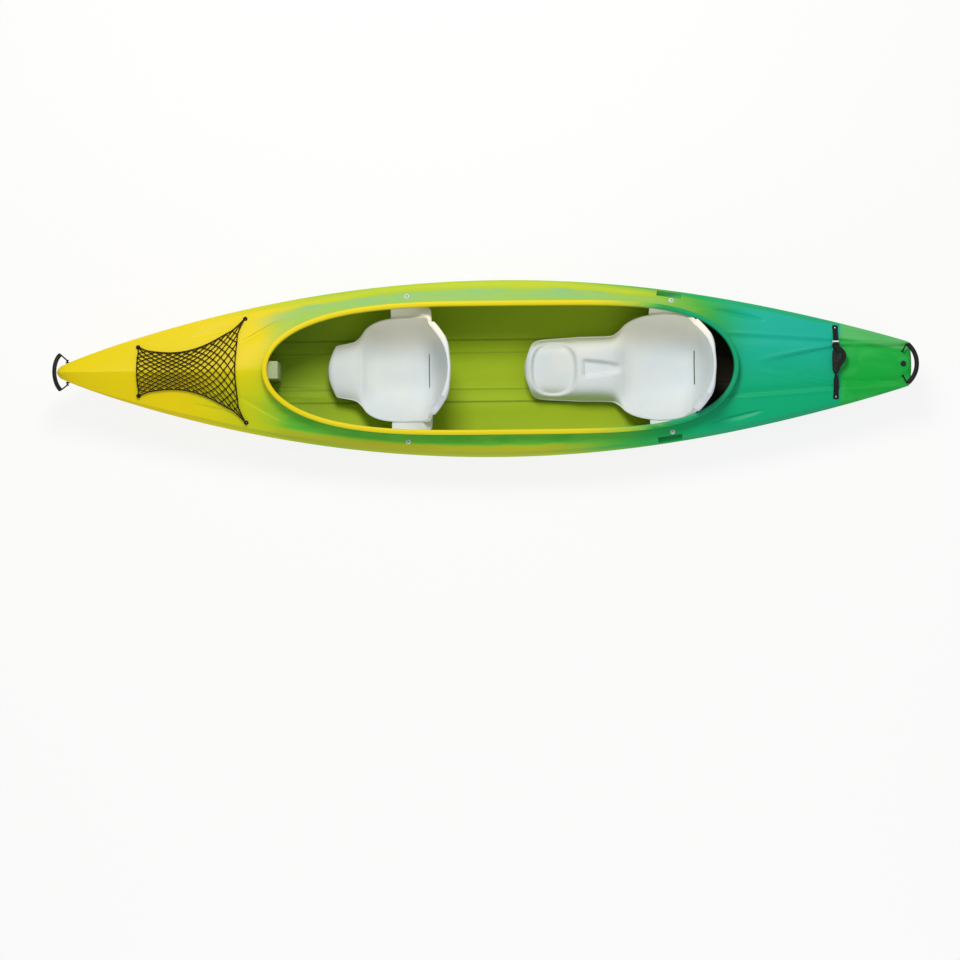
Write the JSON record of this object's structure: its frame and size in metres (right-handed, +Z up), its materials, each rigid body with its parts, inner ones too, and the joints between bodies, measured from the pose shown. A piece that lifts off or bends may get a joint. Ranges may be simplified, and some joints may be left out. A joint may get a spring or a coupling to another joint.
{
  "type": "tandem kayak",
  "caption": "Open-cockpit tandem kayak: moulded hull and deck, white bucket seats, foredeck net, carry handles at both ends, deck strap with buckle and drain plug.",
  "frame": {"origin": "on the flat of the keel, halfway along the moulding, on its centre plane", "axes": "+X towards the stern, +Y to starboard, +Z up; the keel flat lies on Z = 0"},
  "size_m": [4.0984, 0.8414, 0.49],
  "materials": {
    "hull_plastic": "moulded polyethylene in flowing yellow, lime, green and teal",
    "seat_plastic": "white moulded polyethylene",
    "white_plastic": "white nylon",
    "foam": "closed-cell foam",
    "black_plastic": "black moulded nylon",
    "black_rubber": "black hose rubber",
    "cord": "braided black cord",
    "webbing": "woven black strap",
    "steel": "stainless"
  },
  "bodies": {
    "hull": {"hull_shell": "hull_plastic", "stern_lock_bush": "black_plastic", "front_seat": "seat_plastic", "rear_seat": "seat_plastic", "seat_bolts": "steel", "seat_washers": "white_plastic", "seat_spacers": "black_rubber", "seat_nuts": "steel", "bow_foam_pillar": "foam", "stern_foam_block": "foam", "deck_net": "cord", "net_eyes": "black_plastic", "net_screws": "steel", "stern_beads": "cord", "drain_bush": "black_plastic", "strap_starboard": "webbing", "strap_port": "webbing", "strap_tail": "webbing", "buckle_socket": "black_plastic", "strap_slider": "black_plastic", "strap_keeper": "white_plastic", "strap_plates": "black_plastic", "strap_screws": "steel"},
    "bow_handle": {"bow_grip": "black_rubber", "bow_cord": "cord", "bow_cross_cord": "cord", "bow_beads": "black_plastic"},
    "stern_handle": {"stern_grip": "black_rubber", "stern_cord": "cord"},
    "plug_carrier": {"drain_seal": "black_rubber"},
    "plug": {"drain_plug": "black_plastic"},
    "buckle": {"buckle_plug": "black_plastic"}
  },
  "joints": [
    {"name": "bow_handle_swing", "type": "hinge", "parent": "hull", "child": "bow_handle", "pos_m": [-1.979, 0, 0.3], "axis": [0, 1, 0], "range_deg": [-120, 60]},
    {"name": "stern_handle_swing", "type": "hinge", "parent": "hull", "child": "stern_handle", "pos_m": [1.981, 0, 0.283], "axis": [0, -1, 0], "range_deg": [0, 150]},
    {"name": "drain_plug_lift", "type": "slide", "parent": "hull", "child": "plug_carrier", "axis": [0, 0, 1], "range_m": [0, 0.006]},
    {"name": "drain_plug_turn", "type": "hinge", "parent": "plug_carrier", "child": "plug", "pos_m": [1.985, 0, 0.27], "axis": [0, 0, 1], "range_deg": [0, 720]},
    {"name": "buckle_release", "type": "slide", "parent": "hull", "child": "buckle", "axis": [0, -1, 0], "range_m": [0, 0.042], "deforming": ["strap_port"]}
  ],
  "couplings": [
    {"joint": "drain_plug_lift", "follows": "drain_plug_turn", "m_per_rad": 0.00047746}
  ]
}
